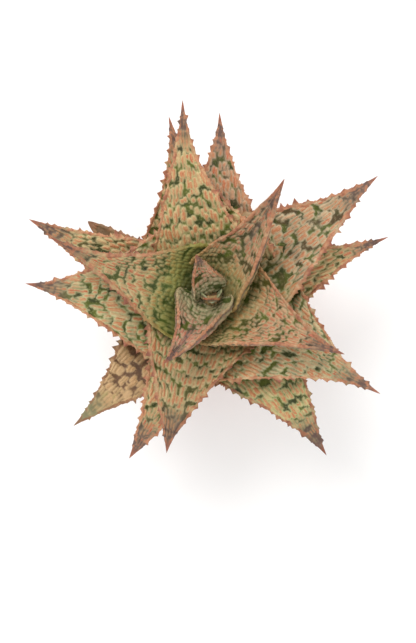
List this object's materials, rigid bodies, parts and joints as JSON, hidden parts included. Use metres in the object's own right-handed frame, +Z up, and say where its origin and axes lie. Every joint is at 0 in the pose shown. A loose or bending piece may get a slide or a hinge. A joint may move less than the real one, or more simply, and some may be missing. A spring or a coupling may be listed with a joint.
{
  "type": "potted firecracker aloe",
  "caption": "Rosette succulent with broad, channelled, spotted and toothed leaves on a short rooted stem, planted in a plain clay pot with drainage holes.",
  "frame": {"origin": "centre of the underside of the pot's base, on the pot's axis", "axes": "+Z up along the pot's axis; +Y towards the top of the picture and +X towards its right"},
  "size_m": [0.1974, 0.1933, 0.16],
  "materials": {
    "leaf": "satin leaf skin, olive green under raised salmon and cream spots",
    "dry_leaf": "drier tan leaf skin with brown gaps between the spots",
    "heart_leaf": "young pale green leaf skin with whitish teeth",
    "stem": "dull fibrous bark",
    "soil": "matt crumbly potting mix",
    "clay": "matt unglazed clay"
  },
  "bodies": {
    "root": {"pot": "clay", "potting_soil": "soil", "rooted_stem": "stem", "lower_leaf_1": "dry_leaf", "lower_leaf_2": "dry_leaf", "lower_leaf_3": "leaf", "lower_leaf_4": "leaf", "lower_leaf_5": "leaf", "lower_leaf_6": "leaf", "lower_leaf_7": "leaf", "lower_leaf_8": "leaf", "middle_leaf_1": "leaf", "middle_leaf_2": "leaf", "middle_leaf_3": "leaf", "middle_leaf_4": "leaf", "middle_leaf_5": "leaf", "middle_leaf_6": "leaf", "inner_leaf_1": "leaf", "inner_leaf_2": "leaf", "inner_leaf_3": "leaf", "inner_leaf_4": "leaf", "heart_leaf_1": "heart_leaf", "heart_leaf_2": "heart_leaf"}
  },
  "joints": []
}
